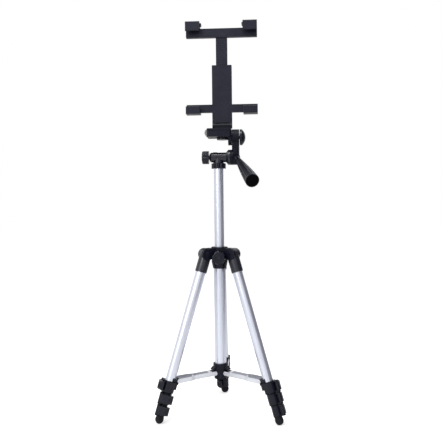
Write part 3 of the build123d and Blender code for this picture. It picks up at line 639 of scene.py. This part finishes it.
sides = ((-mat["far"], -mat["near"]), (mat["near"], mat["far"]))
points, faces = joinSurfaces([ribbedSheet(mat, front, back) for front, back in sides])
addPiece("platform_mat", placed(upright, points), faces, "padRubber", "platform")
print("stage: platform mat")


# Brace top shade: a broad, low sheet along each brace's flat top, darker than the bright sides, painted shade
# on the top
# The brace's line runs from its fold to its rivet, which lies inward of the leg's axis and above the top lock

braceShadeStrip = {"from": 10.0, "setback": 27.0, "half": 5.2, "low": 2.9, "high": 3.35,
            "rivetIn": 11.0, "rivetUp": 3.6}
bracePlaces = {}

for number in (1, 2, 3):
    spot = Vector(jointNamed[f"brace_{number}_fold"]["pos_m"])
    rivet = Vector((-braceShadeStrip["rivetIn"] * mm, 0, (locksAlong - braceShadeStrip["rivetUp"]) * mm))
    outward = legFrames[number] @ rivet - spot
    reach = outward.length / mm
    outward.normalize()
    sideways = Vector((-outward.y, outward.x, 0)).normalized()
    matrix = Matrix((outward, sideways, outward.cross(sideways))).transposed().to_4x4()
    matrix.translation = spot
    spanX, spanY = (braceShadeStrip["from"], reach - braceShadeStrip["setback"]), (-braceShadeStrip["half"], braceShadeStrip["half"])
    points, faces = longBead(spanX, spanY, (braceShadeStrip["low"], braceShadeStrip["high"]))
    points = placed(matrix, points)
    addPiece(f"brace_rib_{number}", points, faces, f"braceTop{number}", f"brace_{number}")
    bracePlaces[number] = (matrix, reach)
print("stage: brace top shade")


# Fork shade sheets: thin dark sheets on the inner faces of each brace's fork, painted shade where the fork's
# inner walls lie in shadow; each follows the flare

forkShade = {"flare": 27.0, "fork": 20.0, "end": 1.0, "inner": 6.0, "forkInner": 8.65, "low": -3.1, "high": 2.9,
         "skins": (0.1, -0.02), "columns": 28, "rows": 5}


def forkLiner(size, reach, side):
    # Point(u, v) = (x(u), side * y(x), z(v)), y = inner, rising to forkInner along the flare, then level
    along = np.linspace(reach - size["flare"], reach - size["end"], size["columns"])
    x, z = np.meshgrid(along, np.linspace(size["low"], size["high"], size["rows"]), indexing="ij")
    bends = [reach - size["flare"], reach - size["fork"]]
    y = np.interp(x, bends, [size["inner"], size["forkInner"]])
    skins = [np.stack([x, side * (y - inset), z], -1) for inset in size["skins"]]
    return closedSheet(*skins, *x.shape)


for number, (matrix, reach) in bracePlaces.items():
    points, faces = joinSurfaces([forkLiner(forkShade, reach, side) for side in (-1, 1)])
    points = placed(matrix, points)
    addPiece(f"fork_shade_sheet_{number}", points, faces, f"braceTop{number}", f"brace_{number}")
print("stage: fork shade sheets")


# Hinge cover: a curved leaf over the holder's knuckle, a sector of a ring about the fold axis

leaf = {"half": 12.6, "radii": (5.1, 4.55), "sweep": 42, "rows": 17, "columns": 9}


def hingeLeaf(size):
    # Point(u, v) = (x(v), r sin a(u), z0 + r cos a(u)) on an outer and an inner radius
    sweep = np.radians(np.linspace(-size["sweep"], size["sweep"], size["rows"]))
    u, v = np.meshgrid(sweep, np.linspace(-1, 1, size["columns"]), indexing="ij")
    x = foldSpot[0] + v * size["half"]
    skins = [np.stack([x, radius * np.sin(u), foldSpot[2] + radius * np.cos(u)], -1)
             for radius in size["radii"]]
    return closedSheet(*skins, *u.shape)


points, faces = hingeLeaf(leaf)
# The leaf shares the neck's darker base, painted shade from the held tablet
addPiece("holder_hinge_leaf", placed(upright, points), faces, "neckPlastic", "holder")
print("stage: hinge leaf")


# Stage, light and camera

def areaLight(name, place, target, size, power):
    data = bpy.data.lights.new(name, "AREA")
    data.shape = "RECTANGLE"
    data.size, data.size_y = size
    data.energy = power
    lamp = bpy.data.objects.new(name, data)
    bpy.context.scene.collection.objects.link(lamp)
    lamp.location = place
    lamp.rotation_mode = "QUATERNION"
    lamp.rotation_quaternion = (Vector(place) - Vector(target)).to_track_quat("Z", "Y")
    lamp.visible_camera = False


# Metres here: the floor's half side; its colour, the light that it gives off for the camera, the world's
# level for the light that falls on the part, and the matt look that floor and cards share
studio = {"floorHalf": 6.0, "floorColor": (0.93, 0.93, 0.93, 1), "lift": 0.45, "level": 0.6,
          "matt": {"Roughness": 0.9, "Specular IOR Level": 0.1}, "cardBlue": 1.1}


def flatSheet(name, corners, color):
    # One flat matt face of the set, with its shader's tree
    mesh = bpy.data.meshes.new(name)
    mesh.from_pydata(corners, [], [(0, 1, 2, 3)])
    look = bpy.data.materials.new(name)
    look.use_nodes = True
    shader = look.node_tree.nodes["Principled BSDF"]
    for label, value in {"Base Color": color, **studio["matt"]}.items():
        shader.inputs[label].default_value = value
    mesh.materials.append(look)
    sheet = bpy.data.objects.new(name, mesh)
    bpy.context.scene.collection.objects.link(sheet)
    return sheet, look.node_tree, shader


half = studio["floorHalf"]
corners = [(-half, -half, 0), (half, -half, 0), (half, half, 0), (-half, half, 0)]
paleFloor, floorTree, floorShader = flatSheet("pale_floor", corners, studio["floorColor"])
floorPath = floorTree.nodes.new("ShaderNodeLightPath")
floorSeen = mathNode(floorTree, "MULTIPLY", floorPath.outputs["Is Camera Ray"], studio["lift"])
floorShader.inputs["Emission Color"].default_value = (1, 1, 1, 1)
floorTree.links.new(floorSeen, floorShader.inputs["Emission Strength"])

world = bpy.data.worlds.new("whiteRoom")
bpy.context.scene.world = world
world.use_nodes = True
worldTree = world.node_tree
worldTree.nodes.clear()
path = worldTree.nodes.new("ShaderNodeLightPath")
seen = mathNode(worldTree, "MAXIMUM", path.outputs["Is Camera Ray"], path.outputs["Is Glossy Ray"])
seen = mathNode(worldTree, "MAXIMUM", seen, path.outputs["Is Transmission Ray"])
level = rangeNode(worldTree, seen, (0.0, 1.0, studio["level"], 1.0))
background = worldTree.nodes.new("ShaderNodeBackground")
background.inputs["Color"].default_value = (1, 1, 1, 1)
worldTree.links.new(level, background.inputs["Strength"])
ending = worldTree.nodes.new("ShaderNodeOutputWorld")
worldTree.links.new(background.outputs["Background"], ending.inputs["Surface"])

# Each light's place, what it faces, its size and its power, in metres and watts
lights = {"key": ((-0.7, -1.0, 0.9), (0.0, 0.0, 0.3), (0.7, 1.1), 10),
          "top": ((0.05, -0.35, 1.35), (0.0, 0.0, 0.4), (0.45, 0.45), 9)}
for name, light in lights.items():
    areaLight(name, *light)

# Upright grey flags beside the set, seen only in reflections: two ends on the floor, height and shade
cards = {"card_right": ((0.62, -0.75), (0.9, 0.9), 1.3, 0.16),
         "card_left": ((-0.50, 0.75), (-0.20, 0.95), 1.3, 0.10)}
for name, (near, far, high, shade) in cards.items():
    corners = [(*near, 0), (*far, 0), (*far, high), (*near, high)]
    card, _, _ = flatSheet(name, corners, (shade, shade, shade * studio["cardBlue"], 1))
    card.visible_camera = False
    card.visible_diffuse = False
    card.visible_shadow = False

shot = {"place": (0.066, -0.981, 0.335), "aim": (0.0031, 0.0, 0.335), "lens": 50.7, "sensor": 36,
        "shiftY": -0.0468, "roll": -0.60}
cameraData = bpy.data.cameras.new("camera")
cameraData.lens = shot["lens"]
cameraData.sensor_width = shot["sensor"]
cameraData.shift_y = shot["shiftY"]
camera = bpy.data.objects.new("camera", cameraData)
bpy.context.scene.collection.objects.link(camera)
camera.location = shot["place"]
camera.rotation_mode = "QUATERNION"
look = (Vector(shot["place"]) - Vector(shot["aim"])).to_track_quat("Z", "Y")
camera.rotation_quaternion = look @ Matrix.Rotation(math.radians(shot["roll"]), 4, "Z").to_quaternion()
bpy.context.scene.camera = camera
bpy.context.scene.view_settings.view_transform = "Standard"
print("stage: camera and light")
